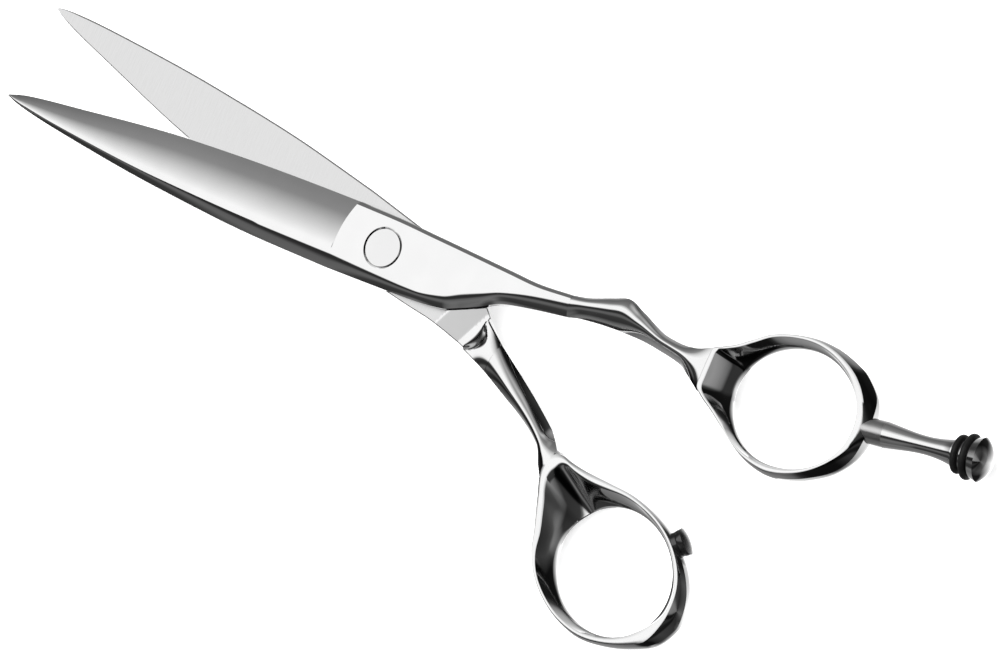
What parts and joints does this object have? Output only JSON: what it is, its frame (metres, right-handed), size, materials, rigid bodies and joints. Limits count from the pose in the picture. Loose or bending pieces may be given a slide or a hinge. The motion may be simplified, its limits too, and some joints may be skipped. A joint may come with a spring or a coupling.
{
  "type": "hair cutting shears",
  "caption": "Slim hair cutting shears with convex-ground blades on a ball-bearing pivot, two ring handles, a closing stop and a screw-in finger rest.",
  "frame": {"origin": "on the pivot axis, at the rear face of the tension dial", "axes": "+Z along the pivot axis to the flush screw head, +X from the pivot to the finger ring and finger rest with the tips at -X, +Y to the finger blade's cutting-edge side"},
  "size_m": [0.174, 0.0559, 0.0086],
  "materials": {
    "polished_steel": "mirror polished",
    "satin_steel": "fine satin",
    "screw_steel": "fine turned face",
    "bearing_steel": "ground",
    "spring_steel": "rolled strip",
    "dial_steel": "satin turned",
    "bush_bronze": "turned bronze",
    "slip_plastic": "PTFE, off-white",
    "ring_rubber": "moulded black rubber",
    "stop_plastic": "moulded, smoke grey"
  },
  "bodies": {
    "finger_half": {"finger_blade": "polished_steel", "finger_handle": "polished_steel", "rest_socket": "satin_steel", "pivot_screw": "screw_steel", "screw_dowel": "bearing_steel", "glide_washer": "slip_plastic", "dial_race": "bearing_steel", "disc_spring": "spring_steel", "click_plate": "spring_steel"},
    "thumb_half": {"thumb_blade": "polished_steel", "thumb_handle": "polished_steel", "pivot_bush": "bush_bronze", "seat_race": "bearing_steel", "stop_stud": "bearing_steel", "stop_pad": "stop_plastic"},
    "bearing_cage": {"ball_cage": "slip_plastic", "bearing_balls": "bearing_steel"},
    "tension_dial": {"tension_dial": "dial_steel"},
    "finger_rest": {"finger_rest": "polished_steel", "rest_ring_inner": "ring_rubber", "rest_ring_outer": "ring_rubber"}
  },
  "joints": [
    {"name": "blade_pivot", "type": "hinge", "parent": "finger_half", "child": "thumb_half", "pos_m": [0, 0, 0.0054], "axis": [0, 0, -1], "range_deg": [-11.9, 88]},
    {"name": "cage_turn", "type": "hinge", "parent": "finger_half", "child": "bearing_cage", "pos_m": [0, 0, 0.0033], "axis": [0, 0, -1], "range_deg": [-6, 44.1]},
    {"name": "dial_turn", "type": "hinge", "parent": "finger_half", "child": "tension_dial", "pos_m": [0, 0, 0], "axis": [0, 0, 1], "range_deg": [-90, 90]},
    {"name": "rest_travel", "type": "slide", "parent": "finger_half", "child": "finger_rest", "axis": [0.9925, 0.1219, 0], "range_m": [0, 0.0037]}
  ],
  "couplings": [
    {"joint": "cage_turn", "follows": "blade_pivot", "ratio": 0.5}
  ]
}
